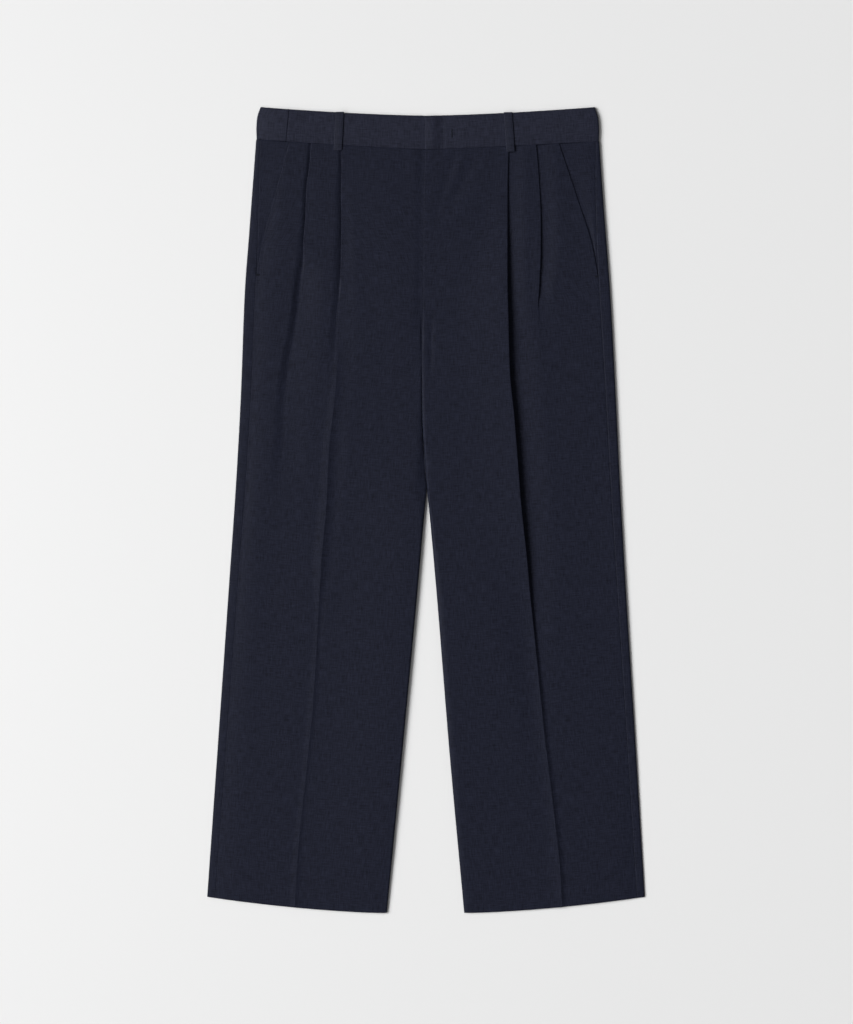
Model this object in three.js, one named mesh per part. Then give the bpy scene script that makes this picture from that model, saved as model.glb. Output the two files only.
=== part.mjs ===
// Double-pleated trousers in dark navy wool cloth, lying flat on their back panels.
// Millimetres. +X is the wearer's left, +Y points from the hems to the waist, +Z up from the surface.
// The origin is the middle of the underside.
import * as THREE from 'three';

// Cloth and the gaps between pieces
const CLOTH = 1.1; // wall of a single cloth
const BAND_CLOTH = 2.2; // wall of the faced waistband
const LOOP_CLOTH = 1.5; // wall of a belt loop
const GAP = 0.3; // between two pieces that are sewn together

// Lengths along the garment
const LEG_LENGTH = 950; // waistband seam to hem, along a leg
const CROTCH = 424; // waistband seam to the crotch point
const HEM_TO_SEAM = 954.4; // lowest point of the hem to the waistband seam at the centre front
const HEM_RISE = 20; // the hem is this much higher at the side than at the inner edge
const HEM_BOW = 1.6; // how the hem bows: 1 is straight
const SEAM_RISE = { right: 12.5, left: 10 }; // the waistband seam rises to the sides
const SEAM_BOW = 1.2;
const BAND_HEIGHT = 41.4; // at the centre front
const BAND_TOP_RISE = 11.1;
const BAND_TOP_BOW = 1.5;
const BACK_BAND_STEP = 1.5; // the back of the band shows above the front by this much

// Heights above the surface
const FLOOR_LAYER = CLOTH / 2; // middle of the back panels' wall
const ROLL_WIDTH = 2.2; // half axis of the rounded edges, across the leg
const ROLL_PIECES = 5; // flats round a side edge
const INNER_ROLL = 84; // degrees that each panel turns at an inner edge
const INNER_ROLL_LENGTH = 190; // the two inner edges roll in over this length below the fly

// Folds
const PRESSED = 0.8; // tightest turn of the pressed cloth, at the middle of its wall
const APPROACH = 8; // the cloth dips to a fold over this width
const SHORTEST = 0.8; // shortest flat stretch in a section
const REACH = 1.5; // a layer stays level this far past the one above or below it
const FLAT_FOLD = 175; // degrees from which a fold counts as pressed flat
const OPEN_FOLD = 150; // degrees up to which the cloth falls away right behind the edge

const BAND_FLOOR = BAND_CLOTH / 2; // middle of the back band's wall
const BAND_TOP = 4.5; // middle of the front band's wall
const BAND_ROLL = 2.4; // half axis of the band's rounded sides

// Fly, pocket and waistband ends
const FLY_OVERLAP = 9; // the left front lies on the right front by this much
const FLY_END = 215; // below the waistband seam
const FLY_SETTLE = 35; // below its end the two fronts come level over this length
const FLY_TAPER = 50; // the overlap runs out over this length
const FLY_DIP_WIDTH = 10;
const EDGE_WIDTH = 3; // level cloth at the inner edge of a panel
const LAYER_STEP = CLOTH + 0.35; // from the middle of one cloth to the next one that lies on it
const POCKET_END = 175; // below the waistband seam
const POCKET_UNDERLAP = 14; // the facing reaches this far under the front
const FACING_SLOPE = 12; // width over which the facing falls from the side seam to its depth
const FACING_DEPTH = CLOTH + 0.5; // of the facing below the front
const BAND_OVERLAP = 24; // the left band end lies on the right one by this much
const BAND_OVERLAP_RAMP = 26;
const BAND_OVERHANG = 1.8; // the lapped end stops this far short of the middle
const BAND_END_DIP = 0.7; // the right band end is pressed down by this much
const BAND_JOIN = { top: 171.8, seam: 175.6 }; // join of the right band, out from the centre line
const BAND_JOIN_STEP = 0.6; // the back piece stands higher at that join
const BAND_JOIN_SLOPE = 14;

// Belt loops
const LOOP_WIDTH = 10.5;
const LOOP_CENTRE = { right: 109.3, left: 103.8 }; // out from the centre line
const LOOP_BELOW_SEAM = 7;
const LOOP_TURN_DOWN = 3;
const LOOP_CLEAR = 0.35; // over the band's top edge
const LOOP_LIFT = 0.6; // over the band, where the pleat below pushes it up
const LOOP_BULGE = 0.5;
const LOOP_TURN = 1.2; // radius at the band's top edge

// Rows of a table become objects with the named columns.
function table(names, rows) {
  const keys = names.split(' ');
  return rows.map((row) => Object.fromEntries(keys.map((key, i) => [key, row[i]])));
}

// Side edge of each half, out from the middle, and how far the back panel wraps over it.
const OUTLINE = {
  right: table('down side wrap', [
    [0, 212.8, 5],
    [60, 217.3, 8],
    [120, 221.8, 11],
    [190, 227.0, 13],
    [320, 232.0, 12.5],
    [424, 237.6, 12],
    [560, 246.9, 11],
    [750, 260.1, 10.5],
    [LEG_LENGTH, 274.1, 10],
  ]),
  left: table('down side wrap', [
    [0, 216.6, 5],
    [60, 220.5, 9],
    [120, 225.0, 12],
    [190, 230.2, 13.8],
    [320, 237.1, 12.8],
    [424, 242.1, 12],
    [560, 249.6, 11],
    [750, 261.4, 10.5],
    [LEG_LENGTH, 273.4, 10],
  ]),
};

// The centre line from the waistband to the crotch, and the inner edge of each leg below it.
const CENTRE_LINE = table('down x', [
  [0, -0.3],
  [60, -2.8],
  [190, -3.2],
  [240, -5.3],
  [320, -5.3],
  [CROTCH, 0.9],
]);
const INSEAM = {
  right: table('down out', [
    [CROTCH, -0.9],
    [462, 2.8],
    [560, 11.6],
    [750, 29.6],
    [LEG_LENGTH, 49.1],
  ]),
  left: table('down out', [
    [CROTCH, 0.9],
    [462, 4.7],
    [560, 13.4],
    [750, 28.8],
    [LEG_LENGTH, 47.2],
  ]),
};

// Height of the front cloth above the surface, at the middle of its wall.
const LOFT = table('down height', [
  [0, 4.4],
  [60, 4.1],
  [120, 3.8],
  [200, 3.6],
  [950, 3.4],
]);

// Slanted pocket edge, in from the side edge.
const POCKET = {
  right: table('down inset', [
    [0, 42],
    [70, 28.5],
    [133, 17.2],
    [POCKET_END, 13],
  ]),
  left: table('down inset', [
    [0, 50.7],
    [70, 32.3],
    [133, 17.8],
    [POCKET_END, 13.7],
  ]),
};

// Each pleat and crease, a row for each section: place of the folded edge out from the centre line,
// degrees that the cloth turns back (180 is pressed flat), depth of the layer under the edge,
// radius at its foot and at its edge, dip in front of it, slope behind the edge, and the width
// over which the cloth settles again.
const FOLD_COLUMNS = 'down at turn under footRadius edgeRadius sink slope settle';
const PLEAT = {
  right: table(FOLD_COLUMNS, [
    [0, 143.5, 180, 13, PRESSED, PRESSED, 2.2, 0, 9],
    [34, 149.1, 180, 13, PRESSED, PRESSED, 2.1, 0, 9],
    [100, 154.1, 174, 12, PRESSED, PRESSED, 1.8, 0, 12],
    [160, 159.5, 140, 7, 1.0, 1.0, 1.7, 4, 18],
    [205, 164.6, 95, 3, 2.0, 1.4, 1.7, 6, 22],
    [263, 173.2, 50, 1.6, 5, 3, 1.6, 6, 26],
    [339, 182.5, 25, 1.5, 9, 6, 1.1, 4, 28],
    [447, 184.5, 8, 1.5, 18, 14, 0.4, 3, 28],
    [950, 205, 4, 1.5, 24, 24, 0.1, 2, 28],
  ]),
  left: table(FOLD_COLUMNS, [
    [0, 138, 180, 12, PRESSED, PRESSED, 2.2, 0, 8],
    [28, 140.4, 180, 12, PRESSED, PRESSED, 2.1, 0, 8],
    [88, 144.6, 178, 12, PRESSED, PRESSED, 1.9, 0, 9],
    [118, 145.2, 165, 10, PRESSED, PRESSED, 1.7, 0, 10],
    [148, 143.9, 138, 7, 0.9, 0.9, 1.6, 3, 12],
    [180, 141.6, 80, 2.4, 2.4, 1.6, 1.2, 5, 14],
    [205, 142.2, 25, 1.5, 9, 8, 0.5, 4, 16],
    [240, 145, 8, 1.5, 18, 18, 0.2, 2, 18],
    [950, 205, 4, 1.5, 24, 24, 0.1, 2, 24],
  ]),
};
const CREASE = {
  right: table(FOLD_COLUMNS, [
    [0, 107.5, 180, 16, PRESSED, PRESSED, 2.2, 0, 14],
    [110, 109.1, 176, 14, PRESSED, PRESSED, 1.8, 0, 20],
    [165, 110.3, 145, 9, PRESSED, PRESSED, 1.7, 4, 30],
    [205, 111.2, 98, 4, 1.4, 0.9, 1.5, 8, 36],
    [240, 111.3, 55, 3, 3, 0.9, 1.0, 11, 38],
    [300, 113.2, 34, 3, 6, 0.9, 0.4, 14, 36],
    [418, 124.1, 30, 3, 9, 0.9, 0.1, 18, 32],
    [665, 139.7, 27, 3, 10, 0.9, 0.1, 17, 30],
    [737, 144.6, 26, 3, 10, 0.9, 0.1, 16, 30],
    [830, 156.6, 25, 3, 10, 0.9, 0.1, 15, 30],
    [950, 164.6, 24, 3, 10, 0.9, 0.1, 15, 30],
  ]),
  left: table(FOLD_COLUMNS, [
    [0, 103, 180, 16, PRESSED, PRESSED, 2.2, 0, 14],
    [96, 101.8, 176, 14, PRESSED, PRESSED, 1.9, 0, 24],
    [175, 103.2, 152, 11, PRESSED, PRESSED, 1.7, 5, 44],
    [281, 106.4, 134, 9, PRESSED, PRESSED, 1.6, 9, 60],
    [375, 114.2, 122, 8, PRESSED, PRESSED, 1.5, 11, 60],
    [468, 123.4, 108, 6.5, 0.9, 0.8, 1.3, 12, 54],
    [564, 131.7, 84, 4.6, 1.4, 0.8, 0.9, 13, 46],
    [640, 138.6, 58, 3.6, 3, 0.9, 0.5, 13, 40],
    [727, 147.4, 40, 3, 6, 0.9, 0.2, 13, 36],
    [826, 159.4, 32, 3, 8, 0.9, 0.1, 13, 34],
    [906, 168.3, 28, 3, 9, 0.9, 0.1, 13, 32],
    [950, 170, 27, 3, 9, 0.9, 0.1, 13, 32],
  ]),
};

// Sections are taken at these distances below the waistband seam.
const STATIONS = [
  ...[0, 16, 40, 75, 110, 145, POCKET_END, 195, FLY_END, FLY_END + FLY_SETTLE, 285, 330, 378],
  ...[CROTCH, 462, 520, 590, 660, 740, 820, 890, LEG_LENGTH],
];

// Rows of the waistband, up from its seam: share of its height, and how far its side edge lies in.
const BAND_ROWS = table('up side', [
  [0, 0.6],
  [0.3, 0.2],
  [0.65, 1.0],
  [1, 5.4],
]);

const NAVY = new THREE.Color(0x222430);
const NAVY_BAND = new THREE.Color(0x2b2c39);
const NAVY_FACING = new THREE.Color(0x21232f);
const cloth = (color) => new THREE.MeshStandardMaterial({ color, roughness: 0.92, metalness: 0 });

const radians = THREE.MathUtils.degToRad;
const lerp = THREE.MathUtils.lerp;
const smooth = (value) => THREE.MathUtils.smoothstep(value, 0, 1);

// Slope of one column at each row, kept flat at turning points so that nothing overshoots.
function slopes(rows, key) {
  const steps = rows.slice(1).map((row, i) => {
    return (row[key] - rows[i][key]) / (row.down - rows[i].down);
  });
  return rows.map((_, i) => {
    const before = steps[i - 1] ?? steps[0];
    const after = steps[i] ?? steps[steps.length - 1];
    return before * after <= 0 ? 0 : (2 * before * after) / (before + after);
  });
}

// All columns of a table at a distance below the waistband seam.
function at(rows, down) {
  const place = Math.min(Math.max(down, rows[0].down), rows[rows.length - 1].down);
  let i = rows.findIndex((row) => row.down >= place) - 1;
  i = Math.max(i, 0);
  const span = rows[i + 1].down - rows[i].down;
  const t = (place - rows[i].down) / span;
  const result = {};
  for (const key of Object.keys(rows[0])) {
    const slope = slopes(rows, key);
    result[key] =
      rows[i][key] * (1 + 2 * t) * (1 - t) ** 2 +
      rows[i + 1][key] * t * t * (3 - 2 * t) +
      span * (slope[i] * t * (1 - t) ** 2 - slope[i + 1] * t * t * (1 - t));
  }
  return result;
}

// The middle line of a wall in one section: w runs across the garment and z up.
class Section {
  constructor(w, z) {
    this.points = [new THREE.Vector2(w, z)];
    this.endHeading = null; // of the closing edge, where it isn't that of the last piece
  }

  get end() {
    return this.points[this.points.length - 1];
  }

  // A smooth curve to a point, with the slopes at its two ends.
  ease(w, z, slopeIn, slopeOut, pieces) {
    const from = this.end.clone();
    const width = w - from.x;
    for (let k = 1; k <= pieces; k++) {
      const t = k / pieces;
      const height =
        from.y * (1 + 2 * t) * (1 - t) ** 2 +
        z * t * t * (3 - 2 * t) +
        width * (slopeIn * t * (1 - t) ** 2 - slopeOut * t * t * (1 - t));
      this.points.push(new THREE.Vector2(from.x + width * t, height));
    }
    return this;
  }

  line(heading, length) {
    this.points.push(
      new THREE.Vector2(this.end.x + length * Math.cos(heading), this.end.y + length * Math.sin(heading)),
    );
    return this;
  }

  // A round turn from one heading to another.
  turn(radius, from, to, pieces) {
    const start = this.end.clone();
    const side = to > from ? 1 : -1;
    for (let k = 1; k <= pieces; k++) {
      const heading = lerp(from, to, k / pieces);
      const across = side * radius * (Math.sin(heading) - Math.sin(from));
      const up = side * radius * (Math.cos(from) - Math.cos(heading));
      this.points.push(new THREE.Vector2(start.x + across, start.y + up));
    }
    return this;
  }

  // Half an ellipse round a side edge, down from the front layer or up from the back one.
  round(width, rise, pieces) {
    const start = this.end.clone();
    for (let k = 1; k <= pieces; k++) {
      const angle = (Math.PI * k) / pieces;
      const out = width * Math.sin(angle);
      this.points.push(new THREE.Vector2(start.x - out, start.y + rise * (1 - Math.cos(angle))));
    }
    return this;
  }

  // The edge of a panel: flat, or rolled by some degrees down or up to a width and height.
  tail(w, roll, flatLength, height) {
    const share = roll / INNER_ROLL;
    const angle = radians(roll);
    const length = lerp(flatLength, ROLL_WIDTH * Math.sin(angle), share);
    const start = this.end.y;
    this.ease(w - length, start, 0, 0, 1);
    for (let k = 1; k <= 3; k++) {
      const t = k / 3;
      const along = share > 0 ? lerp(t, Math.sin(angle * t) / Math.sin(angle), share) : t;
      const rise = height * (1 - Math.cos(angle * t));
      this.points.push(new THREE.Vector2(w - length * (1 - along), start + rise));
    }
    this.endHeading = Math.sign(height) * share * (Math.PI / 2);
    return this;
  }
}

// Places of one fold along a section.
function foldPlaces(fold, loft) {
  const turn = radians(fold.turn);
  const slope = radians(fold.slope);
  const edge = -fold.at;
  const foot = edge - fold.under * Math.cos(turn) - fold.footRadius * Math.sin(turn);
  const low = Math.min(foot - SHORTEST, edge - REACH);
  const crest = edge + fold.edgeRadius * (Math.sin(turn) + Math.sin(slope));
  const pressed = smooth((fold.turn - OPEN_FOLD) / (FLAT_FOLD - OPEN_FOLD));
  const hold = Math.max(SHORTEST, (foot + fold.footRadius + REACH - crest) * pressed);
  const sink = Math.min(fold.sink, loft - FLOOR_LAYER - CLOTH - GAP);
  return { ...fold, turn, slope, foot, low, crest, hold, sink, start: low - APPROACH };
}

// One pleat or crease: the cloth dips, turns back under itself, turns over the edge and settles.
function addFold(section, fold, loft, settleEnd, settlePieces) {
  section.ease(fold.start, loft, 0, 0, 1);
  section.ease(fold.low, loft - fold.sink, 0, 0, 2);
  section.ease(fold.foot, loft - fold.sink, 0, 0, 1);
  section.turn(fold.footRadius, 0, fold.turn, 3);
  section.line(fold.turn, fold.under);
  section.turn(fold.edgeRadius, fold.turn, -fold.slope, 3);
  section.line(-fold.slope, fold.hold);
  const end = Math.min(section.end.x + fold.settle, settleEnd);
  section.ease(end, loft, -Math.tan(fold.slope), 0, settlePieces);
}

// The inner edge of a half, out from the middle.
function innerEdge(half, down) {
  if (down > CROTCH) {
    return at(INSEAM[half], down).out;
  }
  return at(CENTRE_LINE, down).x * (half === 'left' ? 1 : -1);
}

// Half of the garment at one distance below the waistband seam.
function levels(half, down) {
  const line = { ...at(OUTLINE[half], down), inner: innerEdge(half, down) };
  const loft = at(LOFT, down).height;
  const rolled = INNER_ROLL * smooth((down - FLY_END) / INNER_ROLL_LENGTH);
  const overlap = FLY_OVERLAP * (1 - smooth((down - (FLY_END - FLY_TAPER)) / FLY_TAPER));
  const seam = line.side - line.wrap;
  const pocket = line.side - at(POCKET[half], down).inset;
  const dip = LAYER_STEP * (1 - smooth((down - FLY_END) / FLY_SETTLE));
  return { ...line, loft, rolled, overlap, dip, seam, pocket: Math.min(pocket, seam) };
}

// Where the inner edge of a wall ends, with half the gap and the rolled wall's own thickness.
function innerEnd(level) {
  const heading = (level.rolled / INNER_ROLL) * (Math.PI / 2);
  return -level.inner - GAP / 2 - (CLOTH / 2) * Math.sin(heading);
}

function frontSection(half, down) {
  const level = levels(half, down);
  const { loft } = level;
  const pleat = foldPlaces(at(PLEAT[half], down), loft);
  const crease = foldPlaces(at(CREASE[half], down), loft);
  const outer = down < POCKET_END ? level.pocket : level.seam - GAP / 2;
  const section = new Section(-outer, loft);
  addFold(section, pleat, loft, crease.start - SHORTEST, 3);
  const lapped = half === 'right' ? level.overlap : 0;
  const end = innerEnd(level) + lapped;
  const dipEnd = end - lapped - EDGE_WIDTH;
  const dipStart = dipEnd - FLY_DIP_WIDTH;
  addFold(section, crease, loft, dipStart - REACH, 4);
  section.ease(dipStart, loft, 0, 0, 1);
  section.ease(dipEnd, loft - (half === 'right' ? level.dip : 0), 0, 0, 2);
  return section.tail(end, level.rolled, lapped + EDGE_WIDTH - SHORTEST, -(loft - FLOOR_LAYER) / 2);
}

function backSection(half, down) {
  const level = levels(half, down);
  const rise = (level.loft - FLOOR_LAYER) / 2;
  const rollCentre = -(level.side - CLOTH / 2 - ROLL_WIDTH);
  const section = new Section(-(level.seam + GAP / 2), level.loft);
  section.ease(rollCentre, level.loft, 0, 0, 1);
  section.round(ROLL_WIDTH, -rise, ROLL_PIECES);
  const end = innerEnd(level);
  section.ease((rollCentre + end) / 2, FLOOR_LAYER, 0, 0, 1);
  return section.tail(end, level.rolled, EDGE_WIDTH, rise);
}

// The pocket facing shows beside the slanted edge and runs on under the front.
function facingSection(half, down) {
  const level = levels(half, down);
  const start = -level.seam + GAP / 2;
  const edge = -level.pocket;
  const shown = smooth((edge - start) / FACING_SLOPE);
  const low = level.loft - FACING_DEPTH;
  const section = new Section(start, lerp(low, level.loft, shown));
  section.ease(Math.max(edge - REACH, start + SHORTEST), low, 0, 0, 3);
  return section.ease(edge + POCKET_UNDERLAP, low, 0, 0, 1);
}

// Heights along the garment, for a share across the half: 0 at the side, 1 at the inner edge.
function seamY(half, share) {
  return HEM_TO_SEAM + SEAM_RISE[half] * (1 - Math.min(share, 1)) ** SEAM_BOW;
}

function hemY(share) {
  return HEM_RISE * (1 - Math.min(Math.max(share, 0), 1)) ** HEM_BOW;
}

function bandTopY(share) {
  return HEM_TO_SEAM + BAND_HEIGHT + BAND_TOP_RISE * (1 - Math.min(share, 1)) ** BAND_TOP_BOW;
}

// A closed wall through sections: the middle lines are moved out by half the thickness to both
// sides, and the edges and ends are closed. place(w, z, i) puts a point of section i in space.
function wall(name, sections, thickness, place, color) {
  const across = sections[0].points.length;
  const positions = [];
  sections.forEach(({ points, endHeading }, i) => {
    points.forEach((point, j) => {
      const before = points[Math.max(j - 1, 0)];
      const after = points[Math.min(j + 1, across - 1)];
      const inTangent = (j > 0 ? point.clone().sub(before) : after.clone().sub(point)).normalize();
      const outTangent = (j < across - 1 ? after.clone().sub(point) : inTangent.clone()).normalize();
      let tangent = inTangent.clone().add(outTangent).normalize();
      const miter = Math.min(1 / Math.max(tangent.dot(outTangent), 0.5), 1.3);
      if (j === across - 1 && endHeading !== null) {
        tangent = new THREE.Vector2(Math.cos(endHeading), Math.sin(endHeading));
      }
      const half = (thickness / 2) * miter;
      for (const side of [1, -1]) {
        const w = point.x - side * tangent.y * half;
        const z = point.y + side * tangent.x * half;
        positions.push(...place(w, z, i));
      }
    });
  });
  const index = [];
  const vertex = (i, j, side) => (i * across + j) * 2 + side;
  const quad = (a, b, c, d) => index.push(a, b, c, a, c, d);
  const last = sections.length - 1;
  for (let i = 0; i < last; i++) {
    for (let j = 0; j < across - 1; j++) {
      quad(vertex(i, j, 0), vertex(i + 1, j, 0), vertex(i + 1, j + 1, 0), vertex(i, j + 1, 0));
      quad(vertex(i, j, 1), vertex(i, j + 1, 1), vertex(i + 1, j + 1, 1), vertex(i + 1, j, 1));
    }
    quad(vertex(i, 0, 1), vertex(i + 1, 0, 1), vertex(i + 1, 0, 0), vertex(i, 0, 0));
    quad(
      vertex(i, across - 1, 0),
      vertex(i + 1, across - 1, 0),
      vertex(i + 1, across - 1, 1),
      vertex(i, across - 1, 1),
    );
  }
  for (let j = 0; j < across - 1; j++) {
    quad(vertex(0, j, 0), vertex(0, j + 1, 0), vertex(0, j + 1, 1), vertex(0, j, 1));
    quad(vertex(last, j, 1), vertex(last, j + 1, 1), vertex(last, j + 1, 0), vertex(last, j, 0));
  }
  const geometry = new THREE.BufferGeometry();
  geometry.setAttribute('position', new THREE.Float32BufferAttribute(positions, 3));
  geometry.setIndex(index);
  if (volume(geometry) < 0) {
    geometry.setIndex(index.reverse());
  }
  const mesh = new THREE.Mesh(geometry, cloth(color));
  mesh.name = name;
  return mesh;
}

function volume(geometry) {
  const index = geometry.getIndex();
  const position = geometry.getAttribute('position');
  const corner = [new THREE.Vector3(), new THREE.Vector3(), new THREE.Vector3()];
  let sum = 0;
  for (let i = 0; i < index.count; i += 3) {
    corner.forEach((point, k) => point.fromBufferAttribute(position, index.getX(i + k)));
    sum += corner[0].dot(corner[1].clone().cross(corner[2])) / 6;
  }
  return sum;
}

// One leg's panel: its sections lie on lines that run from the waistband seam's slant to the hem's.
function panel(name, half, stations, sectionAt, color) {
  const side = half === 'left' ? 1 : -1;
  const lines = stations.map((down) => {
    return { down, outer: at(OUTLINE[half], down).side, inner: innerEdge(half, down) };
  });
  const place = (w, z, i) => {
    const { down, outer, inner } = lines[i];
    const share = THREE.MathUtils.clamp((outer + w) / (outer - inner), 0, 1);
    const y = lerp(seamY(half, share), hemY(share), down / LEG_LENGTH) - (down === 0 ? GAP / 2 : 0);
    return [side * -w, y, z];
  };
  return wall(
    name,
    stations.map((down) => sectionAt(half, down)),
    CLOTH,
    place,
    color,
  );
}

// The waistband: a flattened ring, cut at the centre front, the right side and the centre back.
function bandPlace(half) {
  const side = half === 'left' ? 1 : -1;
  const otherHalf = half === 'left' ? 'right' : 'left';
  const middle = (BAND_FLOOR + BAND_TOP) / 2;
  return (w, z, i) => {
    const under = w > 0 ? otherHalf : half;
    const waist = OUTLINE[under][0].side;
    const share = Math.min((waist - Math.abs(w)) / waist, 1);
    const bottom = seamY(under, Math.max(share, 0)) + GAP / 2;
    const step = BACK_BAND_STEP * smooth((middle + 1 - z) / 2);
    const top = bandTopY(Math.max(share, 0)) + step;
    return [side * -w, lerp(bottom, top, BAND_ROWS[i].up), z];
  };
}

// The back of the band, and its round side up to the front.
function bandBack(half, row) {
  const section = new Section(-GAP / 2, BAND_FLOOR);
  const centre = -(OUTLINE[half][0].side - row.side - BAND_CLOTH / 2 - BAND_ROLL);
  section.ease(centre, BAND_FLOOR, 0, 0, 2);
  return section.round(BAND_ROLL, (BAND_TOP - BAND_FLOOR) / 2, 6);
}

function bandJoin(row) {
  return -lerp(BAND_JOIN.seam, BAND_JOIN.top, row.up);
}

function rightBackBand() {
  const sections = BAND_ROWS.map((row) => {
    const section = bandBack('right', row);
    const end = bandJoin(row) - GAP / 2;
    section.ease(end - BAND_JOIN_SLOPE, BAND_TOP, 0, 0, 2);
    return section.ease(end, BAND_TOP + BAND_JOIN_STEP, 0, 0, 3);
  });
  return wall('waistband_right_back', sections, BAND_CLOTH, bandPlace('right'), NAVY_BAND);
}

function rightFrontBand() {
  const sections = BAND_ROWS.map((row) => {
    const section = new Section(bandJoin(row) + GAP / 2, BAND_TOP);
    section.ease(-BAND_OVERLAP_RAMP, BAND_TOP, 0, 0, 4);
    section.ease(-REACH, BAND_TOP - BAND_END_DIP, 0, 0, 3);
    return section.ease(BAND_OVERLAP, BAND_TOP - BAND_END_DIP, 0, 0, 1);
  });
  return wall('waistband_right_front', sections, BAND_CLOTH, bandPlace('right'), NAVY_BAND);
}

function leftBand() {
  const raised = BAND_TOP - BAND_END_DIP + BAND_CLOTH + GAP;
  const lap = -(BAND_OVERLAP + REACH);
  const sections = BAND_ROWS.map((row) => {
    const section = bandBack('left', row);
    section.ease(lap - BAND_OVERLAP_RAMP, BAND_TOP, 0, 0, 4);
    section.ease(lap, raised, 0, 0, 4);
    return section.ease(-BAND_OVERHANG, raised, 0, 0, 1);
  });
  return wall('waistband_left', sections, BAND_CLOTH, bandPlace('left'), NAVY_BAND);
}

// A belt loop: a flat strip from below the waistband seam to the band's top edge, turned down there.
function beltLoop(half) {
  const side = half === 'left' ? 1 : -1;
  const centre = LOOP_CENTRE[half];
  const waist = OUTLINE[half][0].side;
  const share = (waist - centre - LOOP_WIDTH / 2) / waist;
  const low = BAND_TOP + BAND_CLOTH / 2 + LOOP_LIFT + LOOP_CLOTH / 2;
  const bottom = seamY(half, share) - LOOP_BELOW_SEAM;
  const top = bandTopY(share) + LOOP_CLEAR + LOOP_CLOTH / 2;
  const path = new Section(bottom, low);
  path.ease((bottom + top) / 2, low + LOOP_BULGE, 0, 0, 3);
  path.ease(top - LOOP_TURN, low, 0, 0, 3);
  path.turn(LOOP_TURN, 0, -Math.PI / 2, 3);
  path.line(-Math.PI / 2, LOOP_TURN_DOWN);
  const place = (w, z, i) => [side * (centre + (i - 0.5) * LOOP_WIDTH), w, z];
  return wall(`belt_loop_${half}`, [path, path], LOOP_CLOTH, place, NAVY_BAND);
}

const trousers = new THREE.Group();
for (const half of ['right', 'left']) {
  const pocketStations = STATIONS.filter((down) => down <= POCKET_END);
  trousers.add(panel(`back_panel_${half}`, half, STATIONS, backSection, NAVY));
  trousers.add(panel(`front_panel_${half}`, half, STATIONS, frontSection, NAVY));
  trousers.add(panel(`pocket_facing_${half}`, half, pocketStations, facingSection, NAVY_FACING));
  trousers.add(beltLoop(half));
}
trousers.add(rightBackBand(), rightFrontBand(), leftBand());

// The origin is moved to the middle of the underside.
const box = new THREE.Box3().setFromObject(trousers);
const middle = box.getCenter(new THREE.Vector3());
for (const mesh of trousers.children) {
  mesh.geometry.translate(-middle.x, -middle.y, -box.min.z);
}

export default trousers;
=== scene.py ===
import math
from types import SimpleNamespace

import bpy
import numpy as np
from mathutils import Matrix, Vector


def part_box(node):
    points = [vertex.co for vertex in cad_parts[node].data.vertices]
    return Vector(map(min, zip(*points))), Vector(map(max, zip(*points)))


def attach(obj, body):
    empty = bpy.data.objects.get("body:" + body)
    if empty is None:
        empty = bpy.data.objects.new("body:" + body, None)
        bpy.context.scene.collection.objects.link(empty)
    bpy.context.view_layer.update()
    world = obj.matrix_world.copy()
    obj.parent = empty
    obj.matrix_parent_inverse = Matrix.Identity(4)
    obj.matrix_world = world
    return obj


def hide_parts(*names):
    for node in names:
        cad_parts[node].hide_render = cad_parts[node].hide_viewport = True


# Double-pleated trousers of dark navy wool, lying flat on their back panels under a camera that looks
# straight down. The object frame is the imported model's: +X is the wearer's left, +Y runs from the hems
# to the waist. Lengths are millimetres until a mesh is made, and angles are degrees.
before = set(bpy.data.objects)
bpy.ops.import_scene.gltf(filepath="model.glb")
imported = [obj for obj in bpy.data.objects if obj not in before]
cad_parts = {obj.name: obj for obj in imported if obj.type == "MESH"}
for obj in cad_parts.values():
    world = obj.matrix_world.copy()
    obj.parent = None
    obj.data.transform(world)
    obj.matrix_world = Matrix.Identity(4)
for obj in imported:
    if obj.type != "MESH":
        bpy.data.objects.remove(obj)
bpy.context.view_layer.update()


# Back panels. Each is one length of plain-woven wool that lies flat on the surface and wraps a little
# over the side edge, where the side seam joins it to the front. At the leg opening the hem is turned
# up inside and pressed. The helpers and the weave of all the cloth are made here, with its first piece.
MM = 0.001
CLOTH = 0.5  # the wool's thickness
SEAM_GAP = 0.3
LEG_LENGTH = 950  # from the waistband seam to the hem
CROTCH = 424
HEM_TO_SEAM = 954.4
HEM_RISE = 20  # the hem's outer end over its inner one
HEM_BOW = 1.6
SEAM_RISE = {"right": 12.5, "left": 10}  # the waistband seam's outer end over its middle
SEAM_BOW = 1.2
FLY_END = 215
FLY_OVERLAP = 9
FLY_TAPER = 50
INNER_ROLL = 84  # degrees that front and back turn towards each other at an inner edge
INNER_ROLL_LENGTH = 190
HEM_TURN_UP = 38
HEM_STEP = 4
HEM_FOLD = 0.32  # radius of the hem's fold, at the middle of the cloth
FLOOR_LAYER = CLOTH / 2
SEAM_SINK = 0.08  # the cloth rolls down into a seam by this much
BACK_SEAM_SINK = {"right": SEAM_SINK, "left": 0.2}
BACK_SEAM_SHARE = 0.7  # the back's rise from its seam takes this much of the way to the side roll
BACK_FLAT = 20  # width of the flat stretch before the back's inner edge
UNDER_ROLL = 4  # widest part of the side roll that turns in under the trousers
WRAP_LEAST = 1.2  # what is left between the side roll and the seam
BAND_OVERLAP = 24
SHARP_EDGE = 60


def table(names, rows):
    """A table with named columns, one array for each."""
    return {name: np.array(column, float) for name, column in zip(names.split(), zip(*rows))}


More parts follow.
